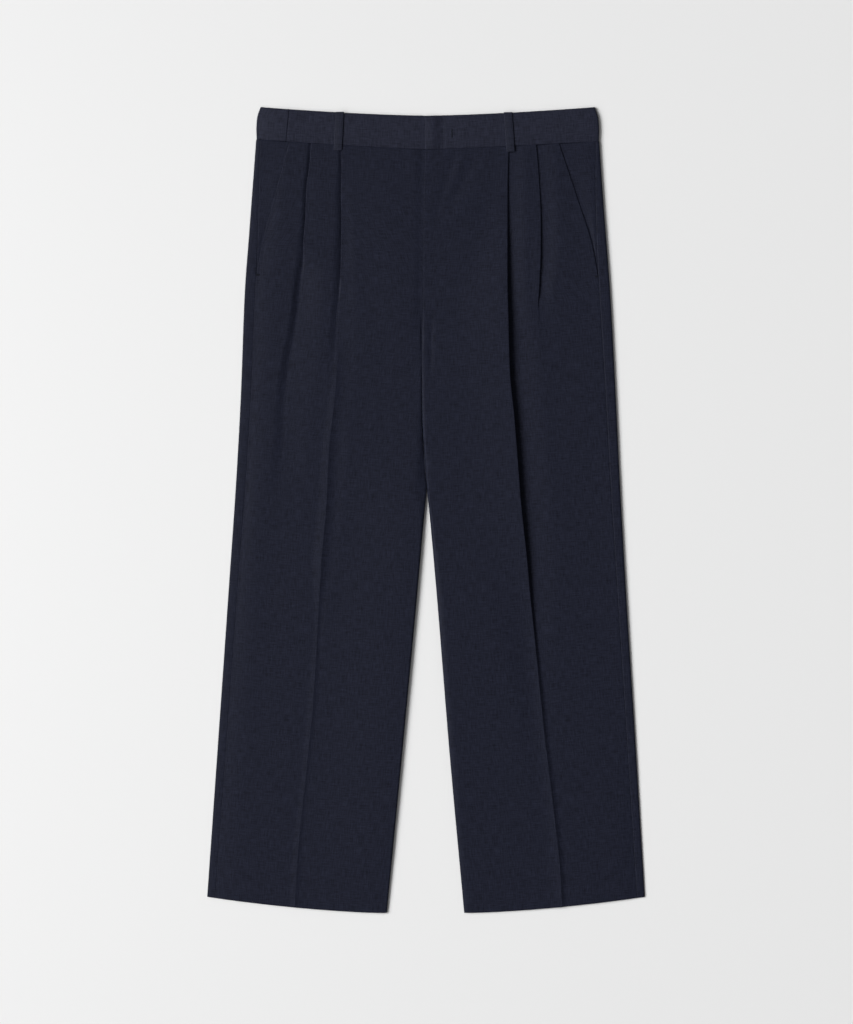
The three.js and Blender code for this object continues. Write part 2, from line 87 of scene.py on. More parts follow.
def slopes(x, y):
    """Slope at each row: flat at turning points, so that a curve through them never overshoots."""
    steps = np.diff(y) / np.diff(x)
    before = np.concatenate([steps[:1], steps])
    after = np.concatenate([steps, steps[-1:]])
    total = np.where(before * after > 0, before + after, 1)
    return np.where(before * after > 0, 2 * before * after / total, 0)


def at(rows, place):
    """Every column of a table at a place in its first column."""
    columns = list(rows)
    x = rows[columns[0]]
    place = min(max(place, x[0]), x[-1])
    i = min(max(int(np.searchsorted(x, place)) - 1, 0), len(x) - 2)
    span = x[i + 1] - x[i]
    t = (place - x[i]) / span
    result = SimpleNamespace()
    for name in columns[1:]:
        y = rows[name]
        slope = slopes(x, y)
        value = y[i] * (1 + 2 * t) * (1 - t) ** 2 + y[i + 1] * t * t * (3 - 2 * t)
        value += span * (slope[i] * t * (1 - t) ** 2 - slope[i + 1] * t * t * (1 - t))
        setattr(result, name, float(value))
    return result


def lerp(start, stop, share):
    return start + (stop - start) * share


def smooth(value):
    value = np.clip(value, 0, 1)
    return value * value * (3 - 2 * value)


class Section:
    """The middle of a cloth in one section: w runs from the side to the inner edge, z is up."""

    def __init__(self, w, z):
        self.w = [w]
        self.z = [z]

    def ease(self, w, z, pieces, slope_in=0, slope_out=0):
        """A smooth curve to a point, with the slopes at its two ends."""
        t = np.arange(1, pieces + 1) / pieces
        start_w, start_z = self.w[-1], self.z[-1]
        width = w - start_w
        height = start_z * (1 + 2 * t) * (1 - t) ** 2 + z * t * t * (3 - 2 * t)
        height += width * (slope_in * t * (1 - t) ** 2 - slope_out * t * t * (1 - t))
        self.w += list(start_w + width * t)
        self.z += list(height)

    def line(self, heading, length, pieces):
        t = np.arange(1, pieces + 1) / pieces
        start_w, start_z = self.w[-1], self.z[-1]
        self.w += list(start_w + length * t * math.cos(heading))
        self.z += list(start_z + length * t * math.sin(heading))

    def turn(self, radius, start, stop, pieces):
        """A round turn from one heading to another."""
        heading = lerp(start, stop, np.arange(1, pieces + 1) / pieces)
        side = 1 if stop > start else -1
        start_w, start_z = self.w[-1], self.z[-1]
        self.w += list(start_w + side * radius * (np.sin(heading) - math.sin(start)))
        self.z += list(start_z + side * radius * (math.cos(start) - np.cos(heading)))

    def roll_over(self, width_above, width_below, drop, pieces):
        """Round a side edge, to a layer that lies twice the drop lower."""
        start_w, start_z = self.w[-1], self.z[-1]
        for k in range(1, 2 * pieces + 1):
            angle = math.pi * k / (2 * pieces)
            out = width_above * math.sin(angle)
            if k > pieces:
                out = width_above - width_below * (1 - math.sin(angle))
            self.w.append(start_w - out)
            self.z.append(start_z - drop * (1 - math.cos(angle)))

    def roll_in(self, w, width, height, rolled, flat, pieces):
        """An inner edge: flat at the fly, and below it rolled down or up to meet the other panel."""
        share = rolled / INNER_ROLL
        angle = math.radians(rolled)
        length = lerp(flat, width * math.sin(angle), share)
        start_z = self.z[-1]
        self.ease(w - length, start_z, pieces)
        for k in range(1, pieces + 1):
            t = k / pieces
            along = lerp(t, math.sin(angle * t) / math.sin(angle), share) if share > 0 else t
            self.w.append(w - length * (1 - along))
            self.z.append(start_z + height * (1 - math.cos(angle * t)))


OUTLINE = {
    "right": table("down side wrap", [
        [0, 212.8, 5], [60, 217.3, 8], [120, 221.8, 11], [190, 227.0, 13], [320, 232.0, 12.5],
        [CROTCH, 237.6, 12], [560, 246.9, 11], [750, 260.1, 10.5], [LEG_LENGTH, 274.1, 10],
    ]),
    "left": table("down side wrap", [
        [0, 216.6, 5], [60, 220.5, 9], [120, 225.0, 12], [190, 230.2, 13.8], [320, 237.1, 12.8],
        [CROTCH, 242.1, 12], [560, 249.6, 11], [750, 261.4, 10.5], [LEG_LENGTH, 273.4, 10],
    ]),
}
CENTRE_LINE = table("down x", [
    [0, -0.3], [60, -2.8], [190, -3.2], [240, -5.3], [320, -5.3], [CROTCH, 0.9],
])
INSEAM = {
    "right": table("down out", [
        [CROTCH, -0.9], [462, 2.8], [560, 11.6], [750, 29.6], [LEG_LENGTH, 49.1],
    ]),
    "left": table("down out", [
        [CROTCH, 0.9], [462, 4.7], [560, 13.4], [750, 28.8], [LEG_LENGTH, 47.2],
    ]),
}
# Height of the front over the surface, at the rounded side edge, and between the crease and the inner
# edge. The wearer's left leg lies highest there, which gives its crease the long shadow.
LOFT = {
    "right": table("down height side inner", [
        [0, 4.4, 3.5, 4.4], [60, 4.2, 2.5, 4.2], [120, 4.0, 2.1, 4.0], [200, 3.9, 2.0, 3.9],
        [380, 3.8, 2.1, 4.0], [CROTCH, 3.8, 2.1, 5.2], [500, 3.7, 2.1, 5.6], [700, 3.5, 2.1, 5.4],
        [850, 3.3, 2.1, 4.8], [LEG_LENGTH, 3.0, 2.1, 3.4],
    ]),
    "left": table("down height side inner", [
        [0, 4.4, 4.5, 4.4], [60, 4.1, 4.4, 4.1], [120, 3.8, 4.3, 4.2], [200, 3.6, 4.2, 5.2],
        [280, 3.6, 4.2, 7.0], [CROTCH, 3.5, 4.1, 7.6], [520, 3.4, 4.0, 7.4], [600, 3.4, 3.9, 6.6],
        [700, 3.3, 3.4, 5.2], [800, 3.3, 2.9, 4.2], [900, 3.2, 2.4, 3.4], [LEG_LENGTH, 3.0, 2.2, 3.0],
    ]),
}
# The edges that face the light are soft, and the others are pressed tight.
ROLL = {
    "right": table("down side inner", [
        [0, 3.5, 2.2], [120, 8, 2.2], [FLY_END, 9, 3], [380, 9, 11], [CROTCH, 9, 9], [500, 9, 2.6],
        [LEG_LENGTH, 9, 2.2],
    ]),
    "left": table("down side inner", [
        [0, 2.4, 2.2], [FLY_END, 2.4, 2.2], [CROTCH, 2.6, 2.2], [470, 2.6, 4], [560, 2.6, 8.5],
        [LEG_LENGTH, 2.6, 8.5],
    ]),
}


def inner_edge(half, down):
    """The inner edge of a half, out from the middle."""
    if down > CROTCH:
        return at(INSEAM[half], down).out
    return at(CENTRE_LINE, down).x * (1 if half == "left" else -1)


def levels(half, down):
    """Places and heights of one half at a distance below the waistband seam."""
    line = at(OUTLINE[half], down)
    loft = at(LOFT[half], down)
    roll = at(ROLL[half], down)
    rolled = INNER_ROLL * float(smooth((down - FLY_END) / INNER_ROLL_LENGTH))
    overlap = FLY_OVERLAP * (1 - float(smooth((down - FLY_END + FLY_TAPER) / FLY_TAPER)))
    return SimpleNamespace(
        side=line.side, seam=line.side - line.wrap, inner=inner_edge(half, down), loft=loft.height,
        inner_loft=loft.inner, side_loft=loft.side, side_roll=min(roll.side, line.wrap - WRAP_LEAST),
        inner_roll=roll.inner, rolled=rolled, overlap=overlap,
    )


def inner_end(level):
    """Where the inner edge of a cloth ends, with half the seam's gap and its own thickness."""
    heading = level.rolled / INNER_ROLL * math.pi / 2
    return -level.inner - SEAM_GAP / 2 - CLOTH / 2 * math.sin(heading)


def back_section(half, down):
    level = levels(half, down)
    drop = (level.side_loft - FLOOR_LAYER) / 2
    centre = -(level.side - CLOTH / 2 - level.side_roll)
    section = Section(-(level.seam + SEAM_GAP / 2), level.side_loft - BACK_SEAM_SINK[half])
    section.ease(lerp(section.w[0], centre, BACK_SEAM_SHARE), level.side_loft, 4)
    section.ease(centre, level.side_loft, 2)
    section.roll_over(level.side_roll, min(level.side_roll, UNDER_ROLL), drop, 10)
    end = inner_end(level)
    section.ease(end - BACK_FLAT, FLOOR_LAYER, 24)
    half_height = (level.inner_loft - FLOOR_LAYER) / 2
    section.roll_in(end, level.inner_roll, half_height, level.rolled, 3, 8)
    return section


def seam_y(half, share):
    return HEM_TO_SEAM + SEAM_RISE[half] * (1 - np.minimum(share, 1)) ** SEAM_BOW


def hem_y(share):
    return HEM_RISE * (1 - np.clip(share, 0, 1)) ** HEM_BOW


def spread(*stretches):
    """Places along the leg, from (start, stop, step) stretches that follow each other."""
    places = [np.arange(start, stop, step) for start, stop, step in stretches]
    return np.append(np.concatenate(places), stretches[-1][1])


# The pattern is drawn from the centre line and the lowest point of the hem, which the frame gives.
CENTRE_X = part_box("waistband_right_front")[1].x / MM - BAND_OVERLAP
HEM_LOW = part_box("front_panel_left")[0].y / MM


def lay(half, downs, sections):
    """The sections as rows of points on lines that run from the waistband seam's slant to the hem's."""
    rows = []
    for down, section in zip(downs, sections):
        w = np.array(section.w)
        outer = at(OUTLINE[half], down).side
        share = np.clip((outer + w) / (outer - inner_edge(half, down)), 0, 1)
        y = lerp(seam_y(half, share), hem_y(share), down / LEG_LENGTH)
        x = -w if half == "left" else w
        rows.append(np.stack([x + CENTRE_X, y + HEM_LOW, section.z], axis=1))
    return np.array(rows)


def unit(vectors):
    return vectors / np.maximum(np.linalg.norm(vectors, axis=-1, keepdims=True), 1e-9)


def normals(rows):
    """The upper side's direction at each point of a cloth."""
    across = np.gradient(rows, axis=1)
    down = np.gradient(rows, axis=0)
    facing = unit(np.cross(across, down))
    upper = np.sign(np.median(facing[:, :, 2]))
    return facing * upper


def turned_up(rows, side):
    """The rows with a hem turned back along their last row: side is -1 where the turn lies below."""
    facing = normals(rows)[-1]
    down = unit(rows[-1] - rows[-2])
    edge = rows[-1] - down * HEM_FOLD
    turn = []
    for angle in np.linspace(0, math.pi, 7)[1:]:
        out = down * HEM_FOLD * math.sin(angle)
        turn.append(edge + out + facing * side * HEM_FOLD * (1 - math.cos(angle)))
    allowance = []
    for back in np.arange(HEM_STEP, HEM_TURN_UP + HEM_STEP / 2, HEM_STEP):
        inside = facing * side * 2 * HEM_FOLD
        allowance.append(edge - down * back + inside)
    return np.concatenate([rows[:-1], [edge], turn, allowance])


def add(name, data):
    """A new object in the scene."""
    made = bpy.data.objects.new(name, data)
    bpy.context.scene.collection.objects.link(made)
    return made


def shell(name, rows, thickness, rings=2):
    """A closed wall round the rows of points, with rounded edges and the cloth's own UV in metres."""
    count, across = rows.shape[:2]
    facing = normals(rows)
    steps_u = np.linalg.norm(np.diff(rows, axis=1), axis=2)
    steps_v = np.linalg.norm(np.diff(rows, axis=0), axis=2)
    u = np.concatenate([np.zeros((count, 1)), np.cumsum(steps_u, axis=1)], axis=1)
    v = np.concatenate([[0], np.cumsum(np.median(steps_v, axis=1))])
    u = u - u[:, across // 2: across // 2 + 1]
    uv = np.stack([u, np.repeat(v[:, None], across, axis=1)], axis=2) * MM
    index = np.arange(count * across).reshape(count, across)
    loop = np.concatenate([index[0, :-1], index[:-1, -1], index[-1, :0:-1], index[:0:-1, 0]])
    outward = np.zeros_like(rows)
    outward[0] += rows[0] - rows[1]
    outward[-1] += rows[-1] - rows[-2]
    outward[:, 0] += unit(rows[:, 0] - rows[:, 1])
    outward[:, -1] += unit(rows[:, -1] - rows[:, -2])
    outward = unit(outward).reshape(-1, 3)[loop]
    middle = rows.reshape(-1, 3)
    flat_facing = facing.reshape(-1, 3)
    half = thickness / 2
    points = [middle + flat_facing * half, middle - flat_facing * half]
    for k in range(1, rings):
        angle = math.pi * k / rings
        up = flat_facing[loop] * math.cos(angle)
        points.append(middle[loop] + (up + outward * math.sin(angle)) * half)
    points = np.concatenate(points)
    total = count * across
    upper = loop
    lower = loop + total
    ring_starts = [2 * total + k * len(loop) for k in range(rings - 1)]
    chain = [upper] + [start + np.arange(len(loop)) for start in ring_starts] + [lower]
    a, b = index[:-1, :-1].ravel(), index[:-1, 1:].ravel()
    c, d = index[1:, 1:].ravel(), index[1:, :-1].ravel()
    quads = [np.stack([a, d, c, b], axis=1), np.stack([a, b, c, d], axis=1) + total]
    for first, second in zip(chain[:-1], chain[1:]):
        quads.append(np.stack([first, np.roll(first, -1), np.roll(second, -1), second], axis=1))
    quads = np.concatenate(quads)
    flat_uv = uv.reshape(-1, 2)
    all_uv = np.concatenate([flat_uv, flat_uv] + [flat_uv[loop]] * (rings - 1))
    corner = points[quads]
    spanned = np.cross(corner[:, 2] - corner[:, 0], corner[:, 3] - corner[:, 1])
    if np.sum(spanned * corner.mean(axis=1)) < 0:
        quads = quads[:, ::-1]
    mesh = bpy.data.meshes.new(name)
    mesh.from_pydata((points * MM).tolist(), [], quads.tolist())
    layer = mesh.uv_layers.new(name="cloth")
    layer.data.foreach_set("uv", all_uv[quads.ravel()].astype(np.float32).ravel())
    mesh.shade_smooth()
    mesh.set_sharp_from_angle(angle=math.radians(SHARP_EDGE))
    return add(name, mesh)


def cut_of(rows, allowance):
    """Width, length and area of the cut, in metres, with the sewing allowance all round."""
    widths = np.linalg.norm(np.diff(rows, axis=1), axis=2).sum(axis=1)
    steps = np.median(np.linalg.norm(np.diff(rows, axis=0), axis=2), axis=1)
    width = widths.max() + 2 * allowance
    length = steps.sum() + 2 * allowance
    area = ((widths[1:] + widths[:-1]) / 2 * steps).sum()
    area += 2 * allowance * (widths.mean() + steps.sum())
    return width * MM, length * MM, area * MM * MM


def socket(group, name, direction, kind, value=None):
    made = group.interface.new_socket(name=name, in_out=direction, socket_type=kind)
    if value is not None:
        made.default_value = value
    return made


def link_math(tree, operation, *values):
    """A Math node on sockets or numbers, and its output."""
    node = tree.nodes.new("ShaderNodeMath")
    node.operation = operation
    for i, value in enumerate(values):
        if isinstance(value, (int, float)):
            node.inputs[i].default_value = value
        else:
            tree.links.new(value, node.inputs[i])
    return node.outputs[0]


def link_mix(tree, factor, first, second, blend="MIX"):
    """A colour Mix node, and its output."""
    node = tree.nodes.new("ShaderNodeMix")
    node.data_type = "RGBA"
    node.blend_type = blend
    for name, value in ((0, factor), (6, first), (7, second)):
        if isinstance(value, (int, float, tuple)):
            node.inputs[name].default_value = value
        else:
            tree.links.new(value, node.inputs[name])
    return node.outputs[2]


CROSSING_BLUR = 0.25
THREAD_DOME = 0.35
SLUB_STREAKS = [((900, 70, 1), 0.0), ((75, 950, 1), 9.0)]  # steps per metre, and where each starts


def make_weave():
    """Plain weave: threads cross one over one, and slubs, their thicker stretches, run both ways."""
    group = bpy.data.node_groups.new("plain_weave", "ShaderNodeTree")
    socket(group, "Cloth", "INPUT", "NodeSocketVector")
    socket(group, "Warp", "INPUT", "NodeSocketColor", (0.02, 0.02, 0.03, 1))
    socket(group, "Weft", "INPUT", "NodeSocketColor", (0.02, 0.02, 0.03, 1))
    socket(group, "Thread", "INPUT", "NodeSocketFloat", 0.00045)
    socket(group, "Slub", "INPUT", "NodeSocketFloat", 0.5)
    socket(group, "Color", "OUTPUT", "NodeSocketColor")
    socket(group, "Height", "OUTPUT", "NodeSocketFloat")
    given = group.nodes.new("NodeGroupInput")
    result = group.nodes.new("NodeGroupOutput")
    split = group.nodes.new("ShaderNodeSeparateXYZ")
    group.links.new(given.outputs["Cloth"], split.inputs[0])
    waves = []
    for direction in ("X", "Y"):
        threads = link_math(group, "DIVIDE", split.outputs[direction], given.outputs["Thread"])
        waves.append(link_math(group, "SINE", link_math(group, "MULTIPLY", threads, math.pi)))
    crossing = link_math(group, "MULTIPLY", waves[0], waves[1])
    over = group.nodes.new("ShaderNodeMapRange")
    over.inputs["From Min"].default_value = -CROSSING_BLUR
    over.inputs["From Max"].default_value = CROSSING_BLUR
    group.links.new(crossing, over.inputs["Value"])
    dome = link_math(group, "ABSOLUTE", crossing)
    streaks = []
    for scale, offset in SLUB_STREAKS:
        stretch = group.nodes.new("ShaderNodeMapping")
        stretch.inputs["Scale"].default_value = scale
        stretch.inputs["Location"].default_value = (offset, offset, offset)
        group.links.new(given.outputs["Cloth"], stretch.inputs["Vector"])
        noise = group.nodes.new("ShaderNodeTexNoise")
        noise.inputs["Scale"].default_value = 1
        noise.inputs["Detail"].default_value = 2.5
        noise.inputs["Roughness"].default_value = 0.62
        group.links.new(stretch.outputs[0], noise.inputs["Vector"])
        streaks.append(noise.outputs["Fac"])
    both = link_math(group, "SUBTRACT", link_math(group, "ADD", streaks[0], streaks[1]), 1.0)
    swing = link_math(group, "MULTIPLY", both, given.outputs["Slub"])
    level = link_math(group, "ADD", swing, 1.0)
    tone = group.nodes.new("ShaderNodeCombineColor")
    for name in ("Red", "Green", "Blue"):
        group.links.new(level, tone.inputs[name])
    threads = link_mix(group, over.outputs[0], given.outputs["Warp"], given.outputs["Weft"])
    group.links.new(link_mix(group, 1.0, threads, tone.outputs[0], "MULTIPLY"), result.inputs["Color"])
    raised = link_math(group, "MULTIPLY", dome, THREAD_DOME)
    group.links.new(link_math(group, "ADD", raised, both), result.inputs["Height"])
    return group


plain_weave = make_weave()
WOOL_SLUB = 1.5  # contrast of the thicker threads
WOOL_RELIEF = 0.6


def new_material(name, values):
    """A material whose shader's sockets are set by name."""
    material = bpy.data.materials.new(name)
    material.use_nodes = True
    shader = material.node_tree.nodes["Principled BSDF"]
    for key, value in values.items():
        shader.inputs[key].default_value = value
    return material


def wool(name, warp, weft):
    """Dark worsted wool: matt threads, a soft gloss and a light nap at grazing angles."""
    material = new_material(name, {
        "Roughness": 0.5, "Specular IOR Level": 0.05, "Sheen Weight": 0.05, "Sheen Roughness": 0.35,
        "Sheen Tint": (0.55, 0.6, 0.8, 1),
    })
    tree = material.node_tree
    shader = tree.nodes["Principled BSDF"]
    layout = tree.nodes.new("ShaderNodeUVMap")
    layout.uv_map = "cloth"
    weave = tree.nodes.new("ShaderNodeGroup")
    weave.node_tree = plain_weave
    weave.inputs["Warp"].default_value = (*warp, 1)
    weave.inputs["Weft"].default_value = (*weft, 1)
    weave.inputs["Slub"].default_value = WOOL_SLUB
    relief = tree.nodes.new("ShaderNodeBump")
    relief.inputs["Strength"].default_value = WOOL_RELIEF
    relief.inputs["Distance"].default_value = 0.0002
    tree.links.new(layout.outputs[0], weave.inputs["Cloth"])
    tree.links.new(weave.outputs["Color"], shader.inputs["Base Color"])
    tree.links.new(weave.outputs["Height"], relief.inputs["Height"])
    tree.links.new(relief.outputs[0], shader.inputs["Normal"])
    return material


def dress(piece, node, material, rows, allowance=4):
    width, length, area = cut_of(rows, allowance)
    piece.data.materials.append(material)
    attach(piece, "root")
    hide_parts(node)
    area = min(area, width * length)


PANEL_DOWNS = spread((0, 6, 1.5), (6, 340, 4), (340, 900, 7), (900, LEG_LENGTH, 4))
leg_wool = wool("wool_leg", (0.0100, 0.0115, 0.0215), (0.0125, 0.0140, 0.0250))
back_rows = {}
for half in ("right", "left"):
    sections = [back_section(half, down) for down in PANEL_DOWNS]
    rows = lay(half, PANEL_DOWNS, sections)
    back_rows[half] = rows
    hemmed = turned_up(rows, 1)
    piece = shell(f"wool_back_{half}", hemmed, CLOTH)
    dress(piece, f"back_panel_{half}", leg_wool, hemmed)


# Front panels. Each is one length of the same wool with two pleats laid towards the side seam: the
# inner one runs on as the pressed crease down the leg, the outer one opens out over the thigh. The
# upper corner is cut away on a slant for the pocket, and the left front laps over the right at the fly.
SEAM_WIDTH = 1.8
PRESSED = 0.36  # tightest turn of the pressed wool
SHORTEST = 0.8  # least width of a straight or a rise between two turns
REACH = 1.5
EDGE_WIDTH = 3
FLY_SETTLE = 35
FLY_DIP_WIDTH = 10
LAYER_STEP = 0.6  # the right front dips by this much under the left one's lap
SIDE_FALL = 34  # width over which the front falls to its side seam
SIDE_STEEPNESS = 2.4  # slope of that fall at the seam, as a multiple of its mean slope
POCKET_END = 175
POCKET_JOIN = 12  # length over which the side seam closes below the pocket
SEAM_TUCK = 5  # length over which the cloth rises from the waistband seam

POCKET = {
    "right": table("down inset", [[0, 42], [70, 28.5], [133, 17.2], [POCKET_END, 13]]),
    "left": table("down inset", [[0, 50.7], [70, 32.3], [133, 17.8], [POCKET_END, 13.7]]),
}
# A fold's table has its place, the angle that the cloth turns back by, the length turned under and the
# radii of the two bends. Then it has how far the lower cloth sinks, at what angle and over what width,
# and the slope and width with which the upper one settles.
FOLD_COLUMNS = "down at turn under foot_radius edge_radius sink dip approach slope settle"
PLEAT = {
    "right": table(FOLD_COLUMNS, [
        [0, 143, 180, 12, PRESSED, PRESSED, 1.05, 4, 4, 0, 12],
        [9, 143.8, 180, 12, PRESSED, PRESSED, 1.15, 6, 4, 0, 12],
        [17, 144.4, 180, 12, PRESSED, PRESSED, 1.6, 20, 4, 0, 12],
        [28, 145.4, 180, 12, PRESSED, PRESSED, 1.6, 22, 4, 0, 12],
        [57, 149.1, 180, 12, PRESSED, PRESSED, 1.7, 26, 5, 0, 12],
        [96, 150.7, 180, 8, PRESSED, PRESSED, 1.8, 30, 6, 0, 14],
        [118, 152.6, 180, 4, PRESSED, PRESSED, 1.9, 30, 8, 0, 14],
        [133, 153.3, 100, 0.4, 0.4, 0.5, 2.0, 26, 9, -2, 18],
        [150, 153, 30, 0.5, 2, 3, 2.3, 20, 9, -4, 22],
        [163, 154, 10, 1, 6, 10, 2.6, 10, 9, -4.5, 26],
        [176, 155.4, 7, 1, 8, 12, 2.8, 6, 9, -4.5, 28],
        [208, 157.4, 6, 2, 10, 14, 2.7, 4, 9, -4.5, 30],
        [245, 162.5, 5, 2, 14, 20, 2.1, 3, 10, -3.5, 34],
        [282, 169, 4, 2, 16, 24, 2.0, 2, 11, -3, 36],
        [332, 174, 3, 2, 20, 30, 1.3, 1, 12, -1.5, 34],
        [382, 176, 2, 2, 20, 30, 1.1, 0, 13, -1, 30],
        [450, 182, 0.3, 2, 24, 30, 0.2, 0, 20, 0, 30],
        [LEG_LENGTH, 205, 0.1, 2, 24, 30, 0, 0, 20, 0, 30],
    ]),
    "left": table(FOLD_COLUMNS, [
        [0, 137, 180, 12, PRESSED, PRESSED, 1.4, 0, 24, 0, 8],
        [21, 139, 180, 12, PRESSED, PRESSED, 1.4, 0, 24, 0, 8],
        [52, 141, 180, 12, 0.4, 0.4, 1.6, 0, 24, 0, 8],
        [90, 142.7, 180, 9, 0.5, 0.55, 2.1, 0, 24, 0, 12],
        [129, 142.7, 176, 5, 0.6, 0.65, 2.4, 0, 24, 0, 14],
        [160, 141.8, 172, 3, 0.6, 0.6, 2.35, 0, 22, 0, 14],
        [174, 141.1, 168, 2, 0.6, 0.6, 2.25, 0, 20, 0, 14],
        [184, 140.6, 158, 1.1, 0.55, 0.55, 2.0, 0, 20, 0, 14],
        [190, 140.3, 120, 0.4, 0.5, 0.5, 1.5, 0, 18, 0, 14],
        [196, 140.1, 60, 0.3, 0.8, 0.8, 0.9, 0, 18, 0, 16],
        [205, 140.4, 15, 0.5, 4, 4, 0.5, 0, 18, 0, 18],
        [240, 145, 0.5, 1.5, 20, 20, 0.05, 0, 20, 0, 20],
        [320, 152, 0.1, 1.5, 24, 24, 0, 0, 20, 0, 20],
        [LEG_LENGTH, 205, 0.1, 1.5, 24, 24, 0, 0, 20, 0, 20],
    ]),
}
CREASE = {
    "right": table(FOLD_COLUMNS, [
        [0, 105, 180, 14, PRESSED, PRESSED, 1.05, 4, 4, 0, 12],
        [13, 105.1, 180, 14, PRESSED, PRESSED, 1.15, 6, 4, 0, 12],
        [21, 105.2, 180, 14, PRESSED, PRESSED, 1.5, 18, 4, 0, 12],
        [31, 105.2, 180, 14, PRESSED, PRESSED, 1.5, 20, 5, 0, 12],
        [56, 105.9, 180, 14, PRESSED, PRESSED, 1.8, 26, 8, 0, 14],
        [94, 105.3, 180, 10, PRESSED, PRESSED, 2.2, 30, 10, 0, 16],
        [131, 105.9, 180, 3, PRESSED, PRESSED, 2.6, 28, 11, 0, 18],
        [150, 106.2, 178, 0.8, PRESSED, PRESSED, 2.5, 26, 11, 0, 18],
        [163, 107, 100, 0.3, 0.4, 0.5, 2.2, 24, 10, -1, 20],
        [176, 107.6, 30, 0.3, 2, 3, 1.9, 20, 9, -2, 20],
        [192, 108.4, 12, 0.6, 4, 6, 1.6, 14, 8, -2, 22],
        [206, 109.4, 7, 1, 8, 8, 1.4, 10, 8, -2, 24],
        [243, 110.6, 3, 2, 16, 8, 0.9, 5, 9, 0, 28],
        [280, 111.8, 4, 5, 26, 0.9, 0.1, 0, 12, 7, 24],
        [330, 116.4, 6, 6, 26, 0.9, 0, 0, 12, 10, 20],
        [380, 121.8, 6, 7, 36, 0.9, 0, 0, 12, 16, 24],
        [442, 124.6, 6, 8, 36, 0.9, 0, 0, 12, 16, 22],
        [517, 131, 7, 9, 30, 0.9, 0, 0, 12, 16, 22],
        [592, 135.3, 5, 3, 30, 0.9, 0, 0, 10, 13, 8],
        [691, 141.2, 6, 5, 30, 0.9, 0, 0, 10, 12, 10],
        [791, 151.2, 5, 4, 30, 0.9, 0, 0, 10, 11, 8],
        [891, 161.2, 6, 5, 30, 0.9, 0, 0, 10, 10, 8],
        [LEG_LENGTH, 164.6, 6, 5, 30, 0.9, 0, 0, 10, 10, 8],
    ]),
    "left": table(FOLD_COLUMNS, [
        [0, 102.6, 180, 14, PRESSED, PRESSED, 1.2, 0, 22, 0, 14],
        [52, 101.2, 180, 14, PRESSED, 0.7, 1.7, 0, 24, 1, 20],
        [90, 100.9, 178, 14, 0.5, 1.0, 2.1, 0, 26, 2, 30],
        [129, 100.9, 170, 12, 0.7, 1.0, 2.4, 0, 25, 3, 44],
        [168, 101.1, 158, 10, 0.8, 0.9, 2.4, 0, 25, 3, 56],
        [207, 102.1, 146, 9.5, 0.8, 0.8, 2.4, 0, 30, 3, 66],
        [284, 104.4, 132, 8.5, 0.8, 0.7, 2.4, 0, 46, 3, 70],
        [333, 109.4, 126, 8, 0.8, 0.7, 2.4, 0, 46, 3, 70],
        [379, 113.2, 120, 7.6, 0.8, 0.7, 2.3, 0, 46, 3, 70],
        [441, 118, 112, 6.8, 0.8, 0.7, 2.1, 0, 46, 3, 66],
        [516, 126, 96, 5, 0.8, 0.7, 1.7, 0, 40, 4, 60],
        [560, 130, 76, 3.4, 1.6, 0.8, 1.2, 0, 30, 5, 54],
        [600, 134.2, 52, 2.6, 2.5, 0.8, 0.9, 0, 24, 6, 48],
        [640, 138.3, 38, 2.2, 5, 0.9, 0.5, 0, 20, 7, 42],
        [690, 143.3, 32, 1.8, 9, 0.9, 0.3, 0, 16, 8, 34],
        [727, 147, 28, 1.6, 11, 0.9, 0.2, 0, 14, 8, 34],
        [826, 159, 24, 1, 15, 0.9, 0.1, 0, 12, 8, 32],
        [906, 167.6, 22, 1, 16, 0.9, 0.1, 0, 12, 8, 30],
        [LEG_LENGTH, 170, 22, 1, 16, 0.9, 0.1, 0, 12, 8, 30],
    ]),
}
# Soft creases that the cloth has as it lies, from one point to another in the pattern's frame: how wide
# they are to each side, and how far they stand up or sink in.
CREASES = table("x0 y0 x1 y1 width height", [
    [35, 946, 11, 864, 7, -0.7],
    [62, 946, 23, 872, 7, -0.65],
    [48, 950, 18, 880, 6, 0.3],
    [-5.6, 744, -5.6, 702, 1.7, -0.95],
    [-5.6, 702, -3, 560, 1.8, -0.45],
    [6.5, 742, 5, 672, 3, -0.5],
    [-2.8, 578, -6, 512, 6, -1.0],
    [-60, 955, -30, 700, 22, 0.3],
    [60, 860, 40, 640, 24, 0.3],
    [-170, 820, -190, 600, 18, -0.3],
    [190, 760, 205, 560, 20, 0.3],
])
CREASE_OVERRUN = 0.15  # share of its length that a soft crease runs on past its points
CREASE_FADE = 0.4


def creases(x, y):
    """Height that the soft creases add at points of the cloth."""
    total = np.zeros_like(x)
    for x0, y0, x1, y1, width, height in zip(*CREASES.values()):
        length = math.hypot(x1 - x0, y1 - y0)
        along = ((x - x0) * (x1 - x0) + (y - y0) * (y1 - y0)) / length**2
        off = ((x - x0) * (y1 - y0) - (y - y0) * (x1 - x0)) / length
        begun = smooth((along + CREASE_OVERRUN) / CREASE_FADE)
        fade = begun * smooth((1 + CREASE_OVERRUN - along) / CREASE_FADE)
        total += height * np.exp(-((off / width) ** 2)) * fade
    return total


def fold_places(fold, loft):
    """Places of one fold along a section."""
    turn = math.radians(fold.turn)
    edge = -fold.at
    foot = edge - fold.under * math.cos(turn) - fold.foot_radius * math.sin(turn)
    low = min(foot - SHORTEST, edge - REACH)
    sink = min(fold.sink, loft - FLOOR_LAYER - CLOTH - SEAM_GAP)
    return SimpleNamespace(
        turn=turn, slope=math.radians(fold.slope), dip=math.radians(fold.dip), foot=foot, low=low,
        sink=sink, start=low - fold.approach, under=fold.under, foot_radius=fold.foot_radius,
        edge_radius=fold.edge_radius, settle=fold.settle,
    )


